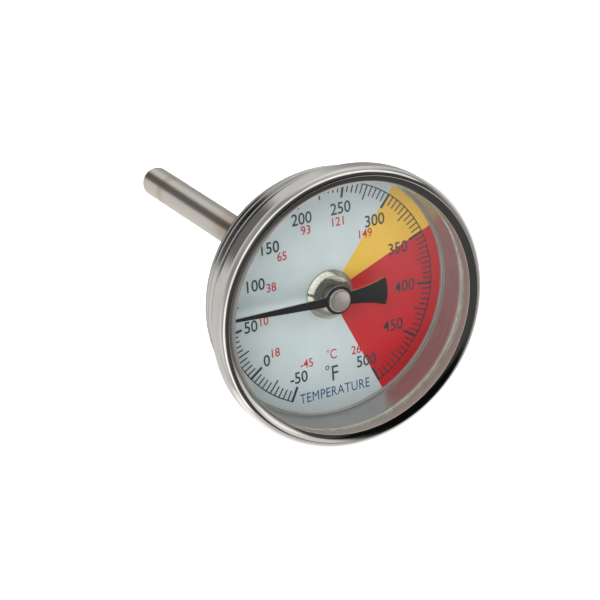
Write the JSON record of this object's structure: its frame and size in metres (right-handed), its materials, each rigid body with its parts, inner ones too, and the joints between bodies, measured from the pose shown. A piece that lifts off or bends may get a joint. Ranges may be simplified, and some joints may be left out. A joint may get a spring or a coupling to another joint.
{
  "type": "dial thermometer",
  "caption": "Round back-connected bimetal dial thermometer with a glazed metal case, turning pointer, threaded pipe connection and long straight stem.",
  "frame": {"origin": "on the pointer's axis, where the stem leaves the free end of the pipe thread", "axes": "-Y out of the dial towards the reader, +Y along the stem to its tip, +Z towards 12 o'clock on the dial, +X to the reader's right"},
  "size_m": [0.0558, 0.0933, 0.0558],
  "materials": {
    "bezel": "bright polished stainless steel",
    "lens": "flat clear glass",
    "lens_gasket": "pale grey moulded rubber",
    "spacer_ring": "bright rolled stainless strip",
    "case": "stainless steel brushed around the axis",
    "dial": "satin white printed aluminium",
    "hub_nut": "bright nickel plate",
    "turned_brass": "turned",
    "bearing": "smooth graphite-filled plastic",
    "pointer": "satin black with bare cut edges",
    "pointer_cap": "nickel plated, lightly brushed",
    "spindle": "ground",
    "fitting": "machined stainless steel",
    "case_seal": "matt",
    "fastener": "zinc plated",
    "stem": "satin drawn stainless tube",
    "stem_tip": "satin, with a heat-tinted weld",
    "bimetal": "rolled strip"
  },
  "bodies": {
    "thermometer_body": {"bezel_ring": "bezel", "lens": "lens", "lens_gasket": "lens_gasket", "spacer_ring": "spacer_ring", "case_cup": "case", "dial_plate": "dial", "hub_nut": "hub_nut", "hub_sleeve": "turned_brass", "front_bearing": "bearing", "hex_fitting": "fitting", "case_seal": "case_seal", "lock_washer": "fastener", "back_nut": "fastener", "stem_tube": "stem", "tip_plug": "stem_tip", "spindle_guides": "bearing", "bimetal_helix": "bimetal", "helix_anchor": "turned_brass"},
    "pointer_assembly": {"pointer": "pointer", "pointer_bushing": "turned_brass", "pointer_cap": "pointer_cap", "spindle": "spindle", "helix_collar": "turned_brass"}
  },
  "joints": [
    {"name": "pointer_turn", "type": "hinge", "parent": "thermometer_body", "child": "pointer_assembly", "pos_m": [0, -0.0336, 0], "axis": [0, 1, 0], "range_deg": [-67, 242.6], "stiffness_Nm_per_rad": 0.0004}
  ]
}
